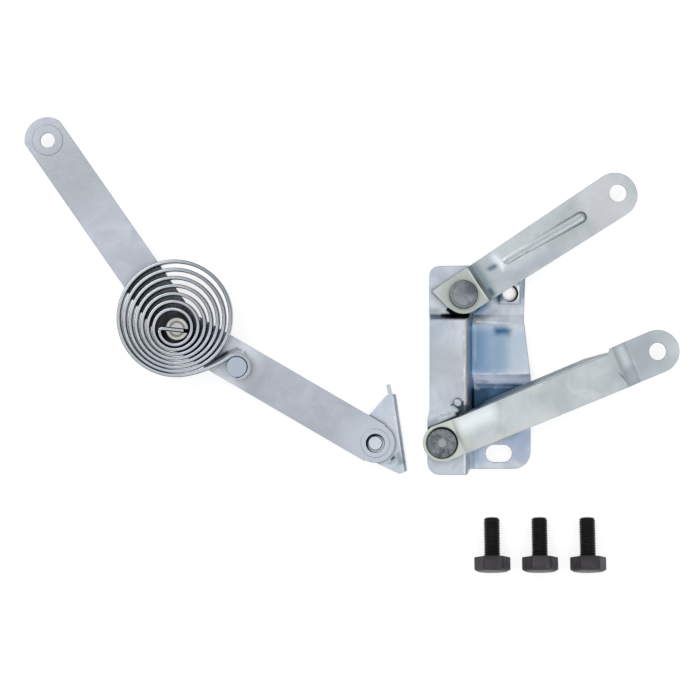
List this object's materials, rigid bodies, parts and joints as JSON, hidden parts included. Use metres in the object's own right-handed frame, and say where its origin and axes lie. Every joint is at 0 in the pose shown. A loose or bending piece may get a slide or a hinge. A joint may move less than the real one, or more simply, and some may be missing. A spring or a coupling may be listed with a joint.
{
  "type": "car bonnet hinge",
  "caption": "Car bonnet hinge laid out flat: pressed bracket with riveted swing links, a folding stay with a flat spiral spring, and loose hex bolts.",
  "frame": {"origin": "centre of the bracket's round fixing hole, on its back face", "axes": "+Z out of the bracket's back face along every pivot, +X towards the links' bolt eyes, the whole hinge laid out flat in XY"},
  "size_m": [0.3883, 0.2716, 0.0274],
  "materials": {
    "bracket_zinc": "zinc plated pressed sheet, satin",
    "link_zinc": "zinc plated with a pale yellow tinge round the pivots",
    "rivet_steel": "dark grey oiled steel",
    "dark_washer": "dark steel",
    "stay_zinc": "matt zinc plated strip",
    "pin_zinc": "zinc plated turned steel",
    "spring_steel": "grey spring steel strip",
    "black_bolt": "black phosphate"
  },
  "bodies": {
    "base": {"body_bracket": "bracket_zinc", "upper_rivet": "rivet_steel", "lower_rivet": "rivet_steel", "upper_washer": "dark_washer", "lower_washer": "dark_washer", "stay_foot": "stay_zinc", "foot_rivet": "stay_zinc", "foot_washer": "dark_washer", "hinge_bolt_1": "black_bolt", "hinge_bolt_2": "black_bolt", "hinge_bolt_3": "black_bolt"},
    "upper_swing": {"upper_link": "link_zinc"},
    "lower_swing": {"lower_link": "link_zinc"},
    "lower_arm": {"stay_lower_arm": "stay_zinc", "spring_anchor_pin": "pin_zinc", "spiral_spring": "spring_steel"},
    "long_arm": {"stay_long_arm": "stay_zinc", "knee_pin": "pin_zinc", "knee_washer": "dark_washer", "knee_tail_washer": "dark_washer"}
  },
  "joints": [
    {"name": "upper_pivot", "type": "hinge", "parent": "base", "child": "upper_swing", "pos_m": [-0.028, -0.0009, 0.0095], "axis": [0, 0, 1], "range_deg": [-21, 44]},
    {"name": "lower_pivot", "type": "hinge", "parent": "base", "child": "lower_swing", "pos_m": [-0.041, -0.0888, 0.015], "axis": [0, 0, 1], "range_deg": [-40, 11]},
    {"name": "foot_pivot", "type": "hinge", "parent": "base", "child": "lower_arm", "pos_m": [-0.0805, -0.0893, 0.008], "axis": [0, 0, 1], "range_deg": [0, 60]},
    {"name": "knee_pivot", "type": "hinge", "parent": "lower_arm", "child": "long_arm", "pos_m": [-0.197, -0.02149, 0.01], "axis": [0, 0, 1], "range_deg": [-110, 20], "stiffness_Nm_per_rad": 1.8, "deforming": ["spiral_spring"]}
  ]
}
